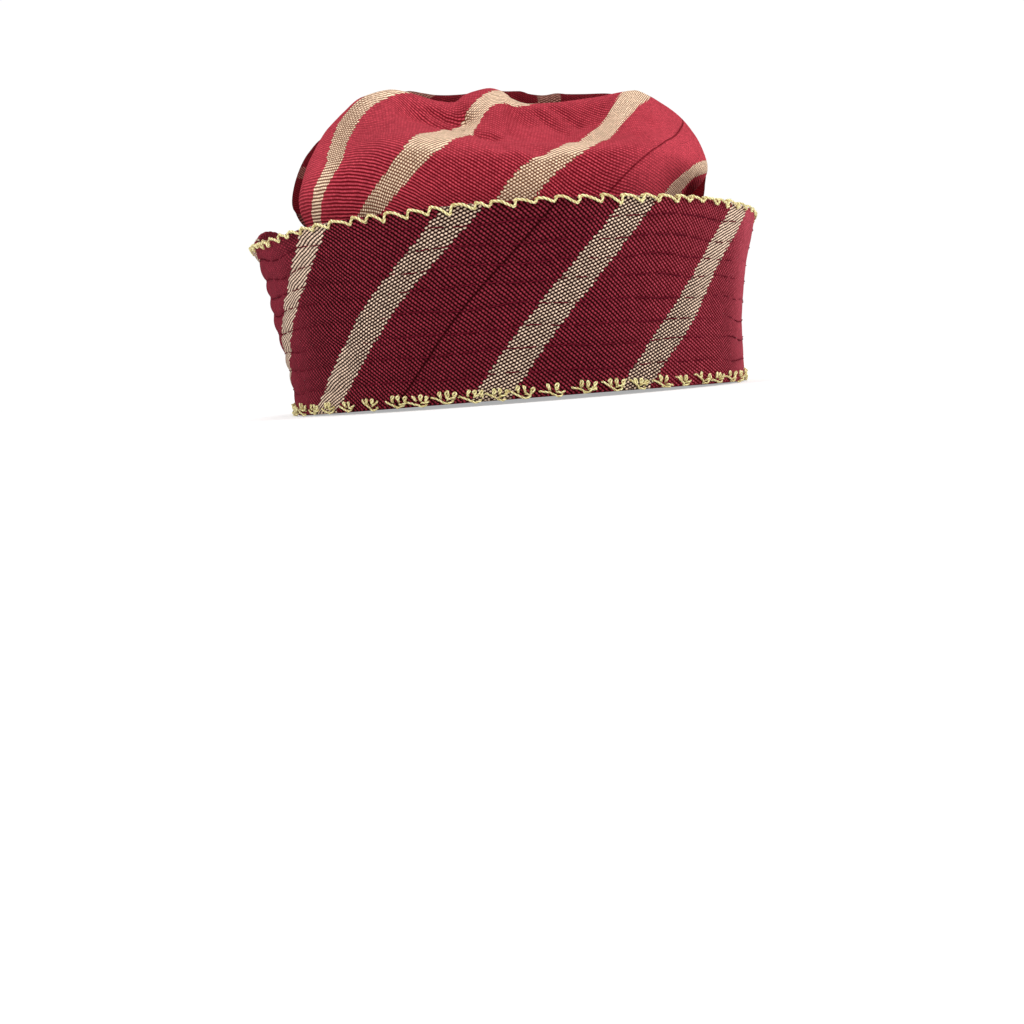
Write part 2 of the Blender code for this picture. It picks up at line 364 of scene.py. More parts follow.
def smooth_through(places, values, at):
    """Cubics through points. The slope at a point is the harmonic mean of the slopes on both sides, or level
    where they turn, so that the curve doesn't overshoot."""
    places, values = np.asarray(places, float), np.asarray(values, float)
    step = np.diff(places)
    rise = np.diff(values) / step
    turning = rise[:-1] * rise[1:] <= 0
    total = np.where(turning, 1, rise[:-1] + rise[1:])
    inner = np.where(turning, 0, 2 * rise[:-1] * rise[1:] / total)
    slope = np.concatenate([rise[:1], inner, rise[-1:]])
    i = np.clip(np.searchsorted(places, at) - 1, 0, len(places) - 2)
    u = np.clip((at - places[i]) / step[i], 0, 1)
    return hermite(values[i], values[i + 1], slope[i], slope[i + 1], step[i], u)


def curve(table, name, at):
    """A named column of a table as a smooth curve over the table's first column."""
    return smooth_through([row[0] for row in table], [getattr(row, name) for row in table], at)


def ease(value, low, high):
    """0 up to low and 1 from high on, with a smooth S between them."""
    share = np.clip((value - low) / (high - low), 0, 1)
    return share * share * (3 - 2 * share)


def bell(distance, width):
    """Bell curve: e to the minus square of the distance over the width."""
    return np.exp(-((distance / width) ** 2))


def waves(angle, up, count, seed, rounds, ups):
    """Sum of count sines over angle and up, each with its own whole number of rounds, scaled to about 1."""
    chance = np.random.default_rng(seed)
    total = 0
    for _ in range(count):
        turns = chance.integers(rounds[0], rounds[1] + 1)
        climb = chance.uniform(ups[0], ups[1])
        phase = chance.uniform(0, TURN)
        total = total + np.sin(turns * angle + climb * up + phase)
    return total / np.sqrt(count)


def angles_round(count):
    """Angles once round from the back seam to itself."""
    return np.linspace(BACK, BACK + TURN, count)


def unit(vectors):
    return vectors / np.maximum(np.linalg.norm(vectors, axis=-1, keepdims=True), 1e-9)


def steps_along(points, axis):
    """Length run along an axis of a grid of points, from its first row or column."""
    lengths = np.linalg.norm(np.diff(points, axis=axis), axis=-1)
    start = np.zeros_like(np.take(lengths, [0], axis=axis))
    return np.concatenate([start, np.cumsum(lengths, axis=axis)], axis=axis)


def outward(points):
    """Unit normals of a grid whose rows climb and whose columns go once round, anticlockwise: the step round
    crossed with the step up."""
    climb = np.gradient(points, axis=0)
    around = np.gradient(points, axis=1)
    around[:, 0] = around[:, -1] = (points[:, 1] - points[:, -2]) / 2
    return unit(np.cross(around, climb))


def oval_arc(angle, half_length, half_width):
    """Length along an oval from the middle of the near side to each angle, as a sum of short chords."""
    fine = angles_round(4001)
    chords = np.hypot(np.diff(half_length * np.cos(fine)), np.diff(half_width * np.sin(fine)))
    run = np.concatenate([[0], np.cumsum(chords)])
    return np.interp(angle, fine, run) - np.interp(NEAR, fine, run)


def across_stripes(lines, heights, arc, up):
    """Place across the cloth: a smooth curve through the stripes' lines at each of the heights, and a cubic
    from height to height."""
    lines, heights = np.asarray(lines), np.asarray(heights)
    level = np.stack([smooth_through(at_height, lines[:, 0], arc) for at_height in lines[:, 1:].T])
    slope = np.gradient(level, heights, axis=0)
    i = np.clip(np.searchsorted(heights, up) - 1, 0, len(heights) - 2)
    step = heights[i + 1] - heights[i]
    u = np.clip((up - heights[i]) / step, 0, 1)

    def at(values, k):
        return np.take_along_axis(values, k[None], axis=0)[0]

    between = hermite(at(level, i), at(level, i + 1), at(slope, i), at(slope, i + 1), step, u)
    beyond = np.minimum(up - heights[0], 0) + np.maximum(up - heights[-1], 0)
    return between + beyond * np.where(up < heights[0], slope[0], slope[-1])


def grain_places(table, arc, up):
    """Place across and along the yarns, in metres: the steps round and up, turned by a lean that changes
    slowly round the piece."""
    lean = np.radians(curve(table, "degrees", arc))
    close = ROW_PITCH / curve(table, "pitch", arc)
    steps = np.diff(arc[0])

    def run_round(values):
        return np.concatenate([[0], np.cumsum(0.5 * (values[0, 1:] + values[0, :-1]) * steps)])

    raised = up - GRAIN_LEVEL
    across = run_round(np.cos(lean)) - np.sin(lean) * raised
    along = run_round(np.sin(lean) * close) + np.cos(lean) * close * raised
    return np.stack([across, along], axis=-1) * MM


def cells(here, after, axis=0):
    """The corners of each cell between two steps along an axis: here and after, then both one step on."""
    first, last = range(here.shape[axis] - 1), range(1, here.shape[axis])
    corners = here.take(first, axis), after.take(first, axis), after.take(last, axis), here.take(last, axis)
    return np.stack(corners, axis=axis + 2)


def surface_mesh(name, points, cloth, masks, closed_top=False, closed_round=False):
    """Mesh of a tube of cloth from a grid whose last column repeats the first.

    With closed_top the last row's near half shares its points with its far half, as a straight seam. With
    closed_round the last row joins the first. cloth is a grid of UV places, and masks are grids of numbers.
    """
    columns = points.shape[1] - 1
    index = np.arange(points.shape[0] * columns).reshape(-1, columns)
    if closed_top:
        place = np.arange(columns)
        index[-1] = index[-1][np.minimum(place, columns - place)]
    used, index = np.unique(index, return_inverse=True)
    index = index.reshape(-1, columns)
    if closed_round:
        index = np.concatenate([index, index[:1]])
        cloth = np.concatenate([cloth, cloth[:1]])
    faces = cells(index, np.roll(index, -1, axis=1)).reshape(-1, 4)
    points = points[:, :-1].reshape(-1, 3)[used]
    piece = mesh_object(name, points, faces.tolist(), "cloth", cells(cloth[:, :-1], cloth[:, 1:]))
    for mask, grid in masks.items():
        attribute = piece.data.attributes.new(mask, "FLOAT", "POINT")
        attribute.data.foreach_set("value", grid[:, :-1].reshape(-1)[used].astype(np.float32))
    return piece


def mesh_object(name, points, faces, uv_name, uv):
    """A smooth mesh with one UV map, which is given for each corner of the faces."""
    mesh = bpy.data.meshes.new(name)
    mesh.from_pydata((points * MM).tolist(), [], faces)
    mesh.uv_layers.new(name=uv_name).data.foreach_set("uv", uv.astype(np.float32).ravel())
    mesh.shade_smooth()
    mesh.validate()
    return add_object(name, mesh)


def add_object(name, data):
    obj = bpy.data.objects.new(name, data)
    bpy.context.scene.collection.objects.link(obj)
    return obj


# Threads


def smooth_paths(points, steps):
    """Cubic through the points of each path (paths, points, 3), whose slope at a point is that of the line
    between its neighbours, with steps steps between two points."""
    first, last = 2 * points[:, :1] - points[:, 1:2], 2 * points[:, -1:] - points[:, -2:-1]
    p = np.concatenate([first, points, last], axis=1)[:, :, None]
    a, b, c, d = p[:, :-3], p[:, 1:-2], p[:, 2:-1], p[:, 3:]
    u = (np.arange(steps) / steps)[:, None]
    between = hermite(b, c, (c - a) / 2, (d - b) / 2, 1, u)
    return np.concatenate([between.reshape(len(points), -1, 3), points[:, -1:]], axis=1)


def strands(paths, radius, sides, twist=0.0):
    """Points, faces and UVs of tubes along paths (paths, steps, 3): a ring at each step, across the path. A
    twist above 0, in turns a millimetre, gives each tube the two lobes of a two-ply thread."""
    count, steps = paths.shape[:2]
    tangent = unit(np.gradient(paths, axis=1))
    side = np.cross(tangent, [0.31, 0.17, 1.0])
    for i in range(1, steps):
        lean = np.sum(side[:, i - 1] * tangent[:, i], axis=-1)[:, None]
        side[:, i] = side[:, i - 1] - tangent[:, i] * lean
    side = unit(side)
    other = np.cross(tangent, side)
    run = steps_along(paths, 1)[..., None]
    turn = TURN * np.arange(sides) / sides
    swell = 1 + (PLY_SWELL if twist else 0.0) * np.cos(2 * (turn - TURN * twist * run))
    taper = np.ones(steps)
    taper[[0, -1]] = END_TAPER
    reach = np.reshape(radius, (-1, 1, 1)) * taper[:, None] * swell
    ring = np.cos(turn)[..., None] * side[:, :, None] + np.sin(turn)[..., None] * other[:, :, None]
    points = paths[:, :, None] + reach[..., None] * ring
    index = np.arange(count * steps * sides).reshape(count, steps, sides)
    quads = cells(index, np.roll(index, -1, axis=2), axis=1).reshape(-1, 4)
    caps = np.concatenate([index[:, 0, ::-1], index[:, -1, :]])
    across = np.arange(sides + 1) / sides
    uv = np.stack(np.broadcast_arrays(run * MM, across * MM), axis=-1)
    uv = cells(uv[:, :, :-1], uv[:, :, 1:], axis=1)
    return points.reshape(-1, 3), quads, caps, uv.reshape(-1, 4, 2)


def thread_mesh(name, groups):
    """One mesh from several groups of strands."""
    points, quads, caps, uvs = zip(*groups)
    starts = np.cumsum([0, *map(len, points[:-1])])
    quads = np.concatenate([group + start for group, start in zip(quads, starts)])
    ends = [cap for group, start in zip(caps, starts) for cap in (group + start).tolist()]
    corners = np.zeros((quads.size + sum(map(len, ends)), 2))
    corners[: quads.size] = np.concatenate(uvs).reshape(-1, 2)
    return mesh_object(name, np.concatenate(points), quads.tolist() + ends, "thread", corners)


class EdgeLine:
    """A closed line round the band at a height that a function of the angle gives, with places on it by
    length from the back."""

    def __init__(self, height):
        self.angle = angles_round(3601)
        hem, top = hem_height(self.angle), rim_height(self.angle)
        share = (height(self.angle) - hem) / (top - hem) + np.array([[-0.01], [0.0], [0.01]])
        grid = band_form(np.broadcast_to(self.angle, share.shape), share)
        self.normal = outward(grid)[1]
        self.points = grid[1]
        self.run = steps_along(self.points, 0)
        self.length = self.run[-1]
        self.along = unit(np.gradient(self.points, axis=0))

    def read(self, values, run):
        run = np.mod(run, self.length)
        return np.stack([np.interp(run, self.run, values[:, k]) for k in range(3)], axis=-1)

    def place(self, run, up, out):
        """Points at a length round the line, raised by up along the cloth and stood out level by out."""
        normal = self.read(self.normal, run)
        rise = unit(np.cross(normal, self.read(self.along, run)))
        level = unit(normal * [1, 1, 0])
        return self.read(self.points, run) + up[..., None] * rise + out[..., None] * level


def spaced(length, pitch, spread, seed):
    """Places round a closed line at a pitch that varies by a share, starting at random."""
    chance = np.random.default_rng(seed)
    count = int(round(length / pitch))
    gaps = 1 + spread * chance.uniform(-1, 1, count)
    return np.cumsum(gaps) * length / gaps.sum()


def rim_places(line):
    """Places of the rim's stitches: a pitch apart, closer towards the back, each a little early or late."""
    fine = np.linspace(0, line.length, 2001)
    from_back = np.minimum(fine, line.length - fine)
    density = 1 / (RIM_PITCH * (1 - CLOSER_AT_BACK * bell(from_back, END_REACH)))
    number = np.cumsum(density) * fine[1]
    count = int(round(number[-1]))
    early = np.random.default_rng(8).uniform(-RIM_EARLY, RIM_EARLY, count)
    return np.interp((np.arange(count) + 0.5 + early) * number[-1] / count, number, fine)


# Band


def stitched_height(angle):
    """Height of the line that the rim stitch follows: a little lower at the front and higher at the back, by
    powers of the angle's cosine, with a dip just past the back on the near side."""
    drop = RIM_FRONT_DROP * np.maximum(np.cos(angle), 0) ** 3
    rise = RIM_BACK_RISE * np.maximum(-np.cos(angle), 0) ** 4
    return BAND_HEIGHT - drop + rise - DIP_DEPTH * bell(np.mod(angle, TURN) - DIP_AT, DIP_SPREAD)


def rim_height(angle):
    """The rim's height. Just past the back on the far side the cloth rises over its stitches in a hump."""
    away = np.mod(angle, TURN) - HUMP_AT
    hump = HUMP_RISE * bell(away, HUMP_SPREAD)
    return stitched_height(angle) + hump * (1 - HUMP_LOSS * ease(away, 0.12, 0.40))


def hem_height(angle):
    """The band's bottom edge: it rises a little from the ends to the sides."""
    return HEM_LIFT + HEM_SIDE_RISE * np.sin(angle) ** 2


def height_at(share):
    """A function that gives the height of a share of the band at each angle."""
    return lambda angle: hem_height(angle) + share * (rim_height(angle) - hem_height(angle))


def band_form(angle, up):
    """The band's outer face before quilting: an oval that grows with height between the hem and the rim."""
    front, back, side = (curve(BAND_SECTIONS, name, up) for name in ("front", "back", "side"))
    x = np.where(np.cos(angle) > 0, front, back) * HALF_LENGTH * np.cos(angle) + OPENING_FORWARD
    y = side * HALF_WIDTH * np.sin(angle)
    return np.stack([x, y, height_at(up)(angle)], axis=-1)


def on_band(angle, up, out):
    """Points that stand out from the band's form by out, along its normal."""
    d = 0.002
    around = band_form(angle + d, up) - band_form(angle - d, up)
    climb = band_form(angle, np.minimum(up + d, 1)) - band_form(angle, np.minimum(up + d, 1) - 2 * d)
    return band_form(angle, up) + np.asarray(out)[..., None] * unit(np.cross(around, climb))


def row_wander(angle, up):
    """How far the hand-sewn quilting rows stray down from level."""
    return ROW_WANDER * waves(angle, up, 9, 21, (3, 19), (-14, 14))


def row_pucker(angle, row):
    return ROW_PUCKER * waves(angle, row * 7.0, 10, 5, (70, 150), (0.5, 1.5))


def puff_height(angle):
    """The padding is thickest at the back and nearly flat at the front."""
    return PUFF * (FRONT_PUFF + (1 - FRONT_PUFF) * ease(-np.cos(angle), 0.0, 1.0))


def quilting(angle, up):
    """How far the padding stands out: between each two rows a rounded puff, a sine to the power 0.6, puckered
    along the stitches. Also 1 on a row and 0 away from it."""
    levels = np.concatenate([[-0.02], QUILT_ROWS, [1.04]])
    strayed = up + row_wander(angle, up)
    place = np.interp(strayed, levels, np.arange(len(levels)))
    nearest = np.clip(np.round(place).astype(int), 1, len(QUILT_ROWS))
    on_row = bell((strayed - levels[nearest]) * BAND_HEIGHT, GROOVE_WIDTH)
    puff = np.abs(np.sin(np.pi * (place - np.floor(place)))) ** 0.6
    height = puff_height(angle) * (1 + PUFF_CHANGE * waves(angle, up, 14, 3, (9, 60), (-12, 12)))
    return puff * height + on_row * row_pucker(angle, nearest) - puff_height(angle), on_row


def back_seam(angle, length_round):
    """1 on the seam down the back and 0 away from it."""
    turned = np.mod(angle - BACK + np.pi, TURN) - np.pi
    return bell(turned * length_round / TURN, SEAM_WIDTH)


def band_wall():
    """Once round the band's wall, up the outside, over the rim, down the inside and round the bottom edge:
    share of the height, how far in as a share of the wall, and the rise of the two edges' half circles."""
    outer, inner = np.linspace(0, BELOW_RIM, OUTSIDE_ROWS), np.linspace(BELOW_RIM, 0, INSIDE_ROWS)
    bend = np.linspace(0, np.pi, EDGE_ROWS + 2)[1:-1]
    up = np.concatenate([outer, np.full(EDGE_ROWS, BELOW_RIM), inner, np.zeros(EDGE_ROWS)])
    inset = np.concatenate([outer * 0, (1 - np.cos(bend)) / 2, inner * 0 + 1, (1 + np.cos(bend)) / 2])
    lift = np.concatenate([outer * 0, RIM_ROUND * np.sin(bend), inner * 0, -HEM_ROUND * np.sin(bend)])
    return up, inset[:, None], lift[:, None]


def edge_pull(angle, rim, stitch_runs):
    """How far the whipstitch pulls the edge down at each angle: most where a stitch crosses over it."""
    run = np.interp(angle, rim.angle, rim.run)
    away = np.abs(run[:, None] - stitch_runs - EDGE_PULL_WIDTH)
    away = np.minimum(away, rim.length - away).min(axis=1)
    return EDGE_PULL * bell(away, EDGE_PULL_WIDTH)


def band_openness(x):
    """How open the weave looks: most on the near and far sides, less round the ends."""
    return 1.0 - 0.65 * ease(-x, 76, 104) - 0.60 * ease(x, 84, 104)


def make_band(rim, stitch_runs):
    up, inset, lift = band_wall()
    up, angle = np.meshgrid(up, angles_round(BAND_COLUMNS), indexing="ij")
    puff, on_row = quilting(angle, up)
    soft = BAND_SOFTNESS * waves(angle, up, 9, 11, (3, 14), (-5, 5))
    seam = back_seam(angle, rim.length)
    points = on_band(angle, up, (puff - SEAM_DEPTH * seam) * (1 - inset) - BAND_WALL * inset + soft)
    points[..., 2] += lift - edge_pull(angle[0], rim, stitch_runs) * ease(up, 0.95, BELOW_RIM)
    arc = oval_arc(angle, BAND_MEAN_OVAL[0] * HALF_LENGTH, BAND_MEAN_OVAL[1] * HALF_WIDTH)
    height = up * BAND_HEIGHT
    x = points[..., 0]
    masks = {
        "quilt_row": on_row * (1 - inset),
        "seam": seam,
        "openness": band_openness(x),
        "drawn": ease(np.abs(x), 62, 88),
        # painted light: the band paler towards its front end
        "painted_light": 0.42 * ease(x, 20, 82) + 0.58 * ease(x, 88, 103),
        "pattern": across_stripes(BAND_STRIPES, BAND_STRIPE_HEIGHTS, arc, height),
    }
    cloth = grain_places(BAND_GRAIN, arc, height + RIM_WRAP * inset)
    return surface_mesh("quilted_band", points, cloth, masks, closed_round=True)


def make_quilting_thread():
    """Rows of running stitches that lie in the grooves and dive into the cloth at both ends, by the sixth
    power of the way from a stitch's middle."""
    groups = []
    for row, level in enumerate(QUILT_ROWS):
        chance = np.random.default_rng(40 + row)
        line = EdgeLine(height_at(level))
        starts = spaced(line.length, QUILT_STITCH, 0.22, 60 + row)
        lengths = QUILT_STITCH * chance.uniform(0.78, 0.98, len(starts))
        share = np.linspace(0, 1, 6)
        run = starts[:, None] + share * lengths[:, None]
        angle = BACK + np.interp(np.mod(run, line.length), line.run, line.angle - BACK)
        up = level - row_wander(angle, level) + 0.003 * chance.uniform(-1, 1, (len(starts), 1))
        above = QUILT_THREAD + 0.03 - QUILT_DIVE * np.abs(2 * share - 1) ** 6
        out = row_pucker(angle, float(row + 1)) - puff_height(angle) + above
        groups.append(strands(on_band(angle, up, out), QUILT_THREAD, 5))
    return thread_mesh("quilting_stitches", groups)


def make_rim_stitch(rim, runs):
    """Gold whipstitch over the rim: one path for each stitch, with its own length, depth and slant."""
    chance = np.random.default_rng(7)
    gap = np.diff(np.concatenate([runs[-1:] - rim.length, runs]))[:, None] / RIM_PITCH
    table = np.array(RIM_STITCH) * np.ones((len(runs), 1, 1))
    table[..., 0] *= np.where(table[..., 0] < 0, gap, 1.0)
    depth = chance.uniform(0.70, 1.45, (len(runs), 1)) * np.minimum(gap, 1) ** 0.2
    table[..., 1] *= np.where(table[..., 1] < 0, depth, 1.0)
    from_front = np.abs(runs - rim.length / 2)
    table[..., 1:] *= (1 - SHORTER_AT_FRONT * bell(from_front, FRONT_REACH))[:, None, None]
    table += chance.normal(0, STITCH_CHANGE, table.shape)
    paths = rim.place(runs[:, None] + table[..., 0], table[..., 1], table[..., 2])
    from_end = np.minimum(np.minimum(runs, rim.length - runs), from_front)
    radius = RIM_THREAD * (1 - THINNER_AT_ENDS * bell(from_end, END_REACH))
    return thread_mesh("rim_whipstitch", [strands(smooth_paths(paths, 3), radius, 7, twist=PLY_TWIST)])


def make_tufts():
    """Gold tufts along the bottom edge: in each a slanting stroke, one to three closed loops, a foot and
    mostly a bar. Each strand is turned by its tilt, scaled, and set down at its tuft's place."""
    hem = EdgeLine(hem_height)
    runs = spaced(hem.length, TUFT_PITCH, 0.14, 9)
    chance = np.random.default_rng(10)
    size = chance.uniform(0.88, 1.12, (len(runs), 1))
    groups = []
    for strand in TUFT_STRANDS:
        kept = chance.random(len(runs)) < strand.share if strand.share < 1 else runs > 0
        path = np.array(strand.path)
        shape = path + chance.normal(0, STITCH_CHANGE, (len(runs), *path.shape))
        turn = (strand.tilt + chance.normal(0, TUFT_TILT_CHANGE, len(runs)))[:, None]
        along = shape[..., 0] * np.cos(turn) + shape[..., 1] * np.sin(turn) + strand.along
        up = shape[..., 1] * np.cos(turn) - shape[..., 0] * np.sin(turn) + strand.up
        paths = hem.place(runs[:, None] + along * size, up * size, shape[..., 2])[kept]
        paths[..., 2] = np.maximum(paths[..., 2], TUFT_LOWEST)
        groups.append(strands(smooth_paths(paths, strand.steps), TUFT_THREAD, 6, twist=PLY_TWIST))
    return thread_mesh("hem_tufts", groups)


# Crown


def crown_form(angle, place):
    """The crown before its folds: ovals inside the band, then two lobes that follow their ridges in height,
    with an upright valley at each end. Each bends in and sinks by a bell curve across the valley."""
    cosine, sine = np.cos(angle), np.sin(angle)
    s = CrownSection(*(curve(CROWN_SECTIONS, name, place) for name in CrownSection._fields))
    middle = -s.shift * TROUGH_OFFSET
    fullness = np.abs(sine) ** (1 - s.square * np.where(cosine > 0, FRONT_CORNERS, BACK_CORNERS))
    near_y = middle - s.near * (CROWN_HALF_WIDTH + middle) * fullness
    far_y = middle + s.far * (CROWN_HALF_WIDTH - middle) * fullness
    y = np.where(sine < 0, near_y, far_y)
    far_end = ease(y, FAR_END_FROM, FAR_END_TO)
    front = s.near_front * (1 - far_end) + s.far_front * far_end
    back = s.near_back * (1 - far_end) + s.far_back * far_end
    x = np.where(cosine > 0, front, back) * CROWN_HALF_LENGTH * cosine
    near_ridge = s.near_rise * (curve(RIDGE, "near", x) - BAND_HEIGHT)
    far_ridge = s.far_rise * (curve(RIDGE, "far", x) - BAND_HEIGHT)
    far_side = 0.5 + 0.5 * np.tanh(LOBE_PARTING * sine)
    rise = near_ridge * (1 - far_side) + far_ridge * far_side
    in_valley = bell(y - VALLEY_PLACE, VALLEY_WIDTH / 2) * np.abs(cosine) ** VALLEY_REACH
    dent = s.valley * CROWN_HALF_LENGTH * in_valley
    edge = (hem_height(angle) + CROWN_EDGE_LIFT) * (1 - ease(place, -1.0, -0.6))
    z = s.up * BAND_HEIGHT + rise - VALLEY_SINK * dent + edge
    return np.stack([x - np.sign(cosine) * dent + OPENING_FORWARD, y, z], axis=-1)


def fold_depth(points, up):
    """Sum of the near lobe's folds: each is its depth times a bell curve of the distance to its line."""
    x = points[..., 0] - OPENING_FORWARD
    total = np.zeros_like(x)
    for f in NEAR_FOLDS:
        run = np.array([f.x1 - f.x0, f.h1 - f.h0])
        share = np.clip(((x - f.x0) * run[0] + (up - f.h0) * run[1]) / (run @ run), 0, 1)
        distance = np.hypot(x - f.x0 - share * run[0], up - f.h0 - share * run[1])
        total += f.depth * bell(distance, f.width)
    return np.where(points[..., 1] < -TROUGH_OFFSET, total, 0)


def crown_grid():
    """Points of the crown, the angle round, the cloth's length up from the rim and the sections' place."""
    skirt = np.linspace(-1, 0, SKIRT_ROWS + 1)[:-1]
    flank = np.linspace(0, 1, FLANK_ROWS + 1)[:-1]
    over = np.linspace(1, 2, OVER_ROWS)
    place = np.concatenate([skirt, flank, over])
    place, angle = np.meshgrid(place, angles_round(CROWN_COLUMNS), indexing="ij")
    points = crown_form(angle, place)
    up = steps_along(points, 0)
    folds = fold_depth(points, up - up[SKIRT_ROWS])
    points[:-1] += (outward(points) * folds[..., None])[:-1]
    up = steps_along(points, 0)
    return points, angle, up - up[SKIRT_ROWS], place


def crown_ribbing(x, level):
    """How far the rows of yarn show as ribs: towards the back, up to 0.6 in the red and above that in the
    cream too, and not where the cloth lies level."""
    in_red = 0.6 * ease(-x, 15, 55)
    in_cream = 0.4 * ease(-x, 64, 80)
    return (in_red + in_cream) * (1 - ease(level, 0.5, 0.9))


def crown_drawing(x, level):
    """How far the cream grains run together into streaks: over the front, and on top except at the back."""
    over_front = ease(x, 50, 75)
    on_top = ease(level, 0.35, 0.70) * ease(x, -62, -42)
    return np.maximum(over_front, on_top)


def crown_openness(x, level):
    """How open the weave looks: least where the cloth lies level, at the back end and over the front."""
    lying_level = 0.50 * ease(level, 0.10, 0.95)
    over_front = 0.66 * ease(x, 30, 68)
    back_end = 0.25 * ease(-x, 64, 80)
    return np.clip(0.95 - np.maximum(lying_level, over_front) - back_end, 0.15, 1.0)


def crown_painted_shade(x, y, place):
    """Painted shade: 1 where the colour is darkened as shade, down in the trough between the lobes, in the
    two valleys and low over the front, and 0 where it is out in the light. x is from the opening's middle."""
    trough = 0.85 * np.where(y > -TROUGH_OFFSET, ease(place, 0.92, 1.02), ease(place, 1.00, 1.18))
    back = 0.93 * ease(-x, 66, 84) * ease(y, -30, -18) * (1 - ease(y, 8, 20))
    low = 1 - ease(place, 0.18, 0.40)
    low_front = low * np.maximum(0.45 * ease(x, 56, 68), ease(x, 66, 74) * ease(y, -50, -43))
    front = ease(x, 70, 84) * ease(y, -28, -18)
    return np.maximum(np.maximum(trough, back), np.maximum(low_front, front))


def make_crown():
    points, angle, up, place = crown_grid()
    arc = oval_arc(angle, CROWN_MEAN_OVAL[0] * CROWN_HALF_LENGTH, CROWN_MEAN_OVAL[1] * CROWN_HALF_WIDTH)
    far = [(across, *(start + FAR_LEAN * h for h in CROWN_STRIPE_HEIGHTS)) for across, start in FAR_STRIPES]
    stripes = sorted([*CROWN_STRIPES, *far], key=lambda line: line[1])
    top_seam = bell((2 - place) * OVER_LENGTH, TOP_SEAM_WIDTH)
    x, y = points[..., 0], points[..., 1]
    level = outward(points)[..., 2]
    masks = {
        "seam": np.maximum(back_seam(angle, CROWN_ROUND), top_seam),
        "openness": crown_openness(x, level),
        "ribbed": crown_ribbing(x, level),
        "drawn": crown_drawing(x, level),
        # painted shade in the crown's trough, valleys and front hollow
        "painted_shade": crown_painted_shade(x - OPENING_FORWARD, y, place),
        "pattern": across_stripes(stripes, CROWN_STRIPE_HEIGHTS, arc, up),
    }
    cloth = grain_places(CROWN_GRAIN, arc, up)
    crown = surface_mesh("folded_crown", points, cloth, masks, closed_top=True)
    wall = crown.modifiers.new("Cloth wall", "SOLIDIFY")
    wall.thickness = CROWN_WALL * MM
    wall.offset = -1
    return crown


# Materials


class Wiring:
    """Adds nodes to one tree. An input is a number or colour for its socket, or another node's output."""

    def __init__(self, tree):
        self.tree = tree

    def add(self, kind, inputs=None, **settings):
        node = self.tree.nodes.new(kind)
        for name, value in settings.items():
            setattr(node, name, value)
        self.give(node.inputs, inputs or {})
        return node

    def give(self, sockets, values):
        for name, value in values.items():
            if isinstance(value, bpy.types.NodeSocket):
                self.tree.links.new(value, sockets[name])
            else:
                sockets[name].default_value = value

    def math(self, operation, *values):
        return self.add("ShaderNodeMath", dict(enumerate(values)), operation=operation).outputs[0]

    plus = partialmethod(math, "ADD")
    minus = partialmethod(math, "SUBTRACT")
    times = partialmethod(math, "MULTIPLY")
    over = partialmethod(math, "DIVIDE")
    rest = partialmethod(math, "FLOORED_MODULO")  # what is left of a value after whole steps
    line = partialmethod(math, "MULTIPLY_ADD")  # of a value, a slope and a start

    def mix(self, share, first, second):
        node = self.add("ShaderNodeMix", {0: share, 6: first, 7: second}, data_type="RGBA")
        return node.outputs[2]

    def ease(self, value, low, high, to_low=0.0, to_high=1.0):
        inputs = {0: value, 1: low, 2: high, 3: to_low, 4: to_high}
        return self.add("ShaderNodeMapRange", inputs, interpolation_type="SMOOTHSTEP").outputs[0]

    def shaded(self, colour, factor):
        return self.add("ShaderNodeVectorMath", {0: colour, 1: factor}, operation="MULTIPLY").outputs[0]

    def noise(self, vector, scale, detail=2.0):
        return self.add("ShaderNodeTexNoise", {"Vector": vector, "Scale": scale, "Detail": detail}).outputs

    def split(self, vector):
        return self.add("ShaderNodeSeparateXYZ", {0: vector}).outputs

    def uv(self, name):
        return self.add("ShaderNodeUVMap", uv_map=name).outputs["UV"]

    def mask(self, name):
        return self.add("ShaderNodeAttribute", attribute_name=name).outputs["Fac"]

    def seen(self):
        return self.add("ShaderNodeLightPath").outputs["Is Camera Ray"]


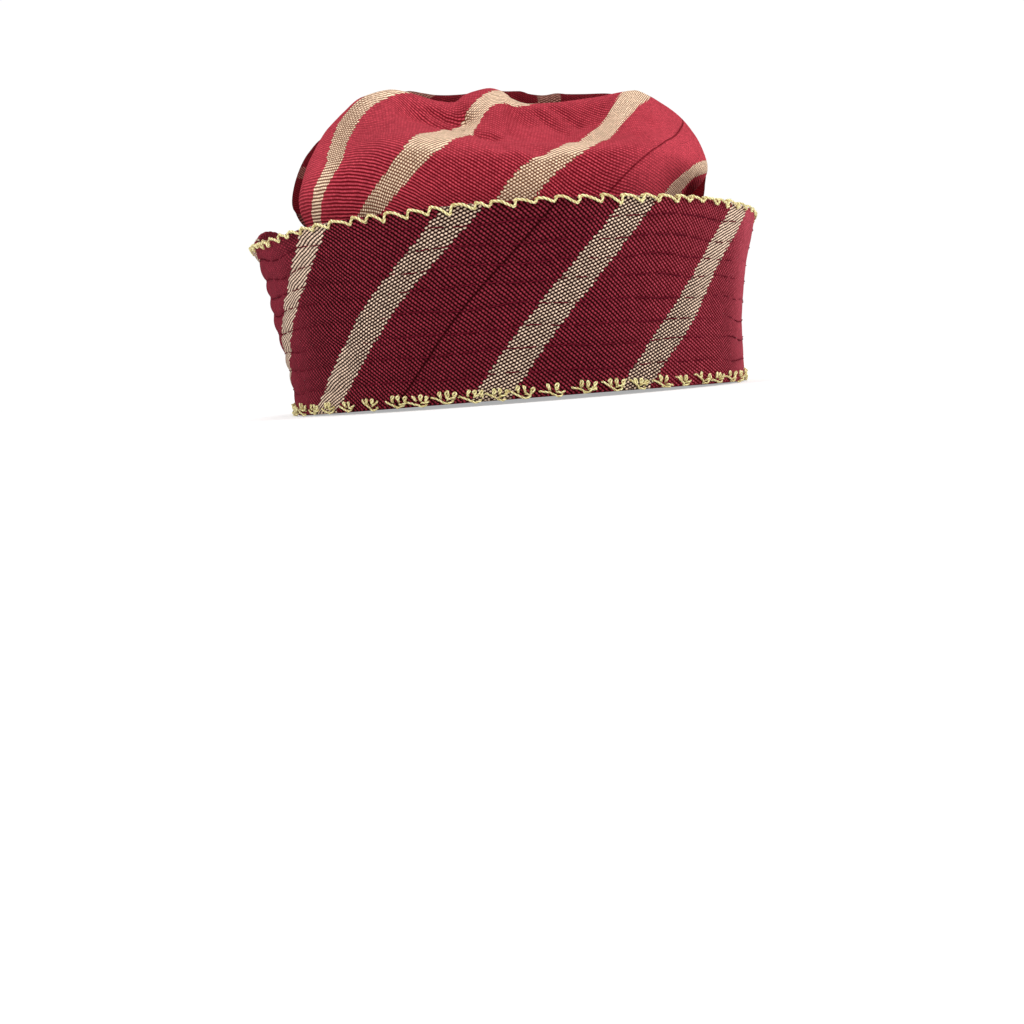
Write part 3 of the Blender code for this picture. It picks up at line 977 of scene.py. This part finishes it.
def handweave_group():
    """The cloth: grains of yarn in staggered rows, with cream stripes and the joins between woven strips."""
    group = bpy.data.node_groups.new("Striped handweave", "ShaderNodeTree")
    for side, kind, names in (
        ("INPUT", "Vector", ("Cloth",)),
        ("INPUT", "Color", ("Red", "Red gap", "Cream", "Cream gap")),
        ("INPUT", "Float", ("Red reach", "Cream reach", "Pattern", "Seam")),
        ("INPUT", "Float", ("Openness", "Ribbed", "Drawn", "Painted_light")),
        ("OUTPUT", "Color", ("Colour",)),
        ("OUTPUT", "Float", ("Height",)),
    ):
        for name in names:
            group.interface.new_socket(name, in_out=side, socket_type="NodeSocket" + kind)
    w = Wiring(group)
    given, out = w.add("NodeGroupInput").outputs, w.add("NodeGroupOutput").inputs
    # Places in millimetres, shaken by up to half a millimetre.
    shake = w.add("ShaderNodeSeparateColor", {0: w.noise(given["Cloth"], 130.0)["Color"]}).outputs
    across_metres, along_metres, _ = w.split(given["Cloth"])
    across = w.line(across_metres, PER_METRE, w.minus(shake[0], 0.5))
    along = w.line(along_metres, PER_METRE, w.minus(shake[1], 0.5))
    row = w.over(along, ROW_PITCH)
    row_number = w.math("ROUND", row)
    half = w.times(w.rest(row_number, 2.0), 0.5)
    grain = w.over(across, GRAIN_PITCH)
    grain_number = w.plus(w.math("ROUND", w.minus(grain, half)), half)
    off_row = w.minus(row, row_number)
    off_grain = w.minus(grain, grain_number)
    # A whole grain takes the colour that the pattern has at its middle.
    shift = w.minus(w.times(grain_number, GRAIN_PITCH), w.times(across_metres, PER_METRE))
    strip_place = w.rest(w.plus(given["Pattern"], shift), STRIP_WIDTH)
    in_stripe = w.math("LESS_THAN", w.rest(strip_place, STRIPE_EVERY), STRIPE_WIDTH)
    stripe = w.times(in_stripe, w.math("LESS_THAN", strip_place, LAST_STRIPE))
    # A grain's reach across is wide in red, so a row runs on, and narrow in cream, where it stands alone.
    plain_reach = w.line(stripe, w.minus(given["Cream reach"], given["Red reach"]), given["Red reach"])
    ribbed_red = w.times(w.minus(1.0, stripe), w.ease(given["Ribbed"], 0.0, 0.6))
    ribbed = w.plus(ribbed_red, w.times(stripe, w.ease(given["Ribbed"], 0.6, 1.0)))
    reach_across = w.line(ribbed, 0.5, plain_reach)
    # Where the cloth is drawn out, the cream grains run together into slanting streaks from row to row.
    unribbed = w.times(stripe, w.minus(1.0, ribbed))
    reach_along = w.line(unribbed, w.line(given["Drawn"], 0.50, 0.06), 0.38)
    slant = w.times(unribbed, w.line(given["Drawn"], 0.20, 0.30))
    slanted = w.minus(off_grain, w.times(slant, off_row))
    across_square = w.math("POWER", w.over(slanted, reach_across), 2.0)
    along_square = w.math("POWER", w.over(off_row, reach_along), 2.0)
    height = w.ease(w.math("SQRT", w.plus(across_square, along_square)), 1.15, 0.25)
    # Each grain is a little lighter or darker, less so where the weave is closed, and so are wider patches.
    cell = w.add("ShaderNodeCombineXYZ", {0: grain_number, 1: row_number}).outputs[0]
    chance = w.add("ShaderNodeTexWhiteNoise", {"Vector": cell}, noise_dimensions="2D").outputs["Value"]
    closed = w.minus(1.0, given["Openness"])
    own = w.times(w.minus(chance, 0.5), w.line(closed, -0.24, 0.40))
    patch = w.line(w.noise(given["Cloth"], 28.0, 3.0)["Fac"], 0.4, -0.2)
    vary = w.plus(w.plus(own, 1.0), patch)
    # painted light: the red yarn and its gaps are painted paler towards the band's front end
    red = w.shaded(given["Red"], w.mix(given["Painted_light"], (1, 1, 1, 1), PAINTED_LIGHT_RED))
    yarn = w.mix(stripe, w.shaded(red, vary), w.shaded(given["Cream"], vary))
    gap = w.mix(stripe, w.mix(given["Painted_light"], given["Red gap"], PAINTED_LIGHT_GAP), given["Cream gap"])
    # Where the cloth is drawn tight or lies level its gaps close, which raises the share of yarn.
    share = w.math("MAXIMUM", height, w.times(closed, w.line(stripe, -0.85, 1.0)))
    join_off = w.minus(w.rest(given["Pattern"], STRIP_WIDTH), JOIN_PLACE)
    join = w.math("MAXIMUM", w.ease(w.math("ABSOLUTE", join_off), 0.60, 0.15), given["Seam"])
    colour = w.mix(w.times(join, 0.75), w.mix(share, gap, yarn), given["Red gap"])
    w.give(out, {"Colour": colour, "Height": w.minus(height, join)})
    return group


def new_material(name):
    material = bpy.data.materials.new(name)
    material.use_nodes = True
    return material, Wiring(material.node_tree), material.node_tree.nodes["Principled BSDF"].inputs


def weave_node(w, group, yarns, masks):
    """The weave with one cloth's yarns. The surface's UV map and the masks of the same names steer it."""
    inputs = {"Cloth": w.uv("cloth"), **yarns}
    inputs.update((mask, w.mask(mask.lower())) for mask in masks)
    return w.add("ShaderNodeGroup", inputs, node_tree=group).outputs


def finish(w, surface, colour, height, strength, depth, roughness=0.80, specular=0.02):
    """Colour, a bump that is depth millimetres deep, and how the surface shines. Cloth hardly does."""
    bump = w.add("ShaderNodeBump", {"Height": height, "Strength": strength, "Distance": depth * MM})
    w.give(surface, {"Base Color": colour, "Normal": bump.outputs["Normal"]})
    w.give(surface, {"Roughness": roughness, "Specular IOR Level": specular})


def band_material(group):
    """The band's cloth, painted paler towards the front as painted light and darkened unevenly along its
    quilting rows as painted shade.
    """
    material, w, surface = new_material("Quilted striped cloth")
    weave = weave_node(w, group, BAND_FINISH, ("Pattern", "Seam", "Openness", "Drawn", "Painted_light"))
    # painted shade: the colour darkened unevenly along the quilting rows, as shade in their grooves
    painted_row_shade = w.ease(w.noise(w.uv("cloth"), 90.0)["Fac"], 0.40, 0.65, 0.0, 0.22)
    colour = w.mix(w.times(w.mask("quilt_row"), painted_row_shade), weave["Colour"], BAND_FINISH["Red gap"])
    finish(w, surface, colour, weave["Height"], strength=0.8, depth=0.3)
    return material


def crown_material(group):
    """The crown's cloth, ribbed towards the back and darkened with painted shade down in its folds."""
    material, w, surface = new_material("Striped crown cloth")
    weave = weave_node(w, group, CROWN_FINISH, ("Pattern", "Seam", "Openness", "Drawn", "Ribbed"))
    # painted shade: the colour darkened where the crown's folds lie in shade
    colour = w.mix(w.mask("painted_shade"), weave["Colour"], w.shaded(weave["Colour"], PAINTED_SHADE))
    finish(w, surface, colour, weave["Height"], strength=0.8, depth=0.3)
    return material


def thread_material(name, light, dark, fibres, roughness, specular, twist=0.0):
    """Twisted thread: fine fibres that wind round it as a sine, with lighter and darker stretches. A twist
    above 0 darkens the groove between two plies with painted shade."""
    material, w, surface = new_material(name)
    along, around, _ = w.split(w.uv("thread"))
    wound = w.line(around, fibres * TURN * PER_METRE, w.times(along, 5200.0))
    fibre = w.line(w.math("SINE", wound), 0.5, 0.5)
    where = w.add("ShaderNodeTexCoord").outputs["Object"]
    patch = w.ease(w.noise(where, 420.0, 3.0)["Fac"], 0.30, 0.60, 0.25, 0.80)
    share = w.line(fibre, 0.30, patch)
    if twist:
        # painted shade: darker along the groove between the two plies
        turn = w.line(around, 2 * TURN * PER_METRE, w.times(along, -2 * TURN * PER_METRE * twist))
        share = w.times(share, w.ease(w.math("COSINE", turn), -1.0, 0.1, 0.15, 1.0))
    finish(w, surface, w.mix(share, dark, light), fibre, 0.5, 0.1, roughness, specular)
    return material


# Camera, floor and light


def set_camera():
    """A camera at the photograph's place, turned by its lean, pitch and roll."""
    lean, pitch, roll = np.radians((CAMERA_LEAN, CAMERA_PITCH, CAMERA_ROLL))
    forward = np.array([np.sin(lean) * np.cos(pitch), np.cos(lean) * np.cos(pitch), np.sin(pitch)])
    right = np.array([np.cos(lean), -np.sin(lean), 0.0])
    up = np.cross(right, forward)
    across, upright = np.cos(roll) * right - np.sin(roll) * up, np.sin(roll) * right + np.cos(roll) * up
    turned = np.eye(4)
    turned[:3] = np.column_stack([across, upright, -forward, np.array(CAMERA_PLACE) * MM])
    camera = add_object("camera", bpy.data.cameras.new("camera"))
    camera.data.sensor_width = SENSOR_WIDTH
    camera.data.lens = SENSOR_WIDTH * LENS_PIXELS / PICTURE_PIXELS
    camera.data.clip_start = 0.01
    camera.matrix_world = Matrix(turned.tolist())
    bpy.context.scene.camera = camera


def area_light(name, place, size, power):
    """A round lamp that looks at the middle of the cap. Its place and size are in metres."""
    light = bpy.data.lights.new(name, "AREA")
    light.shape = "DISK"
    light.size = size
    light.energy = power
    lamp = add_object(name, light)
    lamp.location = place
    lamp.rotation_euler = (Vector((0, 0, 0.08)) - Vector(place)).to_track_quat("-Z", "Y").to_euler()


def set_floor():
    """A wide pale floor that glows white for the camera alone, less so close to the cap."""
    mesh = bpy.data.meshes.new("floor")
    mesh.from_pydata([(-20, -20, 0), (20, -20, 0), (20, 20, 0), (-20, 20, 0)], [], [(0, 1, 2, 3)])
    floor = add_object("floor", mesh)
    material, w, surface = new_material("Pale floor")
    where = w.add("ShaderNodeTexCoord").outputs["Object"]
    distance = w.add("ShaderNodeVectorMath", {0: where}, operation="LENGTH").outputs["Value"]
    glow = w.times(w.seen(), w.ease(distance, 0.20, 1.5, 0.42, 0.95))
    w.give(surface, {"Emission Color": (1, 1, 1, 1), "Emission Strength": glow})
    w.give(surface, {"Base Color": (0.75, 0.75, 0.75, 1), "Roughness": 0.9, "Specular IOR Level": 0.0})
    mesh.materials.append(material)


def set_light():
    """White surroundings, brighter for the camera alone, and soft light from above, the near side and both
    ends."""
    world = bpy.data.worlds.new("White surroundings")
    world.use_nodes = True
    w = Wiring(world.node_tree)
    strength = w.line(w.seen(), 0.72, 0.30)
    w.give(world.node_tree.nodes["Background"].inputs, {"Color": (1, 1, 1, 1), "Strength": strength})
    bpy.context.scene.world = world
    area_light("light overhead", (0.0, 0.12, 1.3), size=1.0, power=7.5)
    area_light("light on the near side", (0.1, -1.3, 0.60), size=1.2, power=10.8)
    area_light("light at the back", (-1.2, -0.35, 0.45), size=0.7, power=6.0)
    area_light("light at the front", (1.2, -0.35, 0.45), size=0.7, power=8.0)
    bpy.context.scene.view_settings.view_transform = "Standard"


# Putting it together


def declare(piece, material, stands_for=None):
    piece.data.materials.append(material)
    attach(piece, "root")
    if stands_for:
        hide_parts(stands_for)


set_camera()
set_floor()
set_light()

weave_group = handweave_group()
gold = thread_material(
    "Gold embroidery thread", (1.0, 0.94, 0.50, 1), (0.40, 0.26, 0.05, 1),
    fibres=6, roughness=0.40, specular=0.5, twist=PLY_TWIST,
)
dark_red = thread_material(
    "Dark red sewing thread", (0.14, 0.008, 0.020, 1), (0.07, 0.002, 0.006, 1),
    fibres=4, roughness=0.8, specular=0.02,
)

rim = EdgeLine(stitched_height)
rim_runs = rim_places(rim)

band = make_band(rim, rim_runs)
declare(band, band_material(weave_group), stands_for="cuff")

crown = make_crown()
declare(crown, crown_material(weave_group), stands_for="crown")

declare(make_quilting_thread(), dark_red)
declare(make_rim_stitch(rim, rim_runs), gold)
declare(make_tufts(), gold)
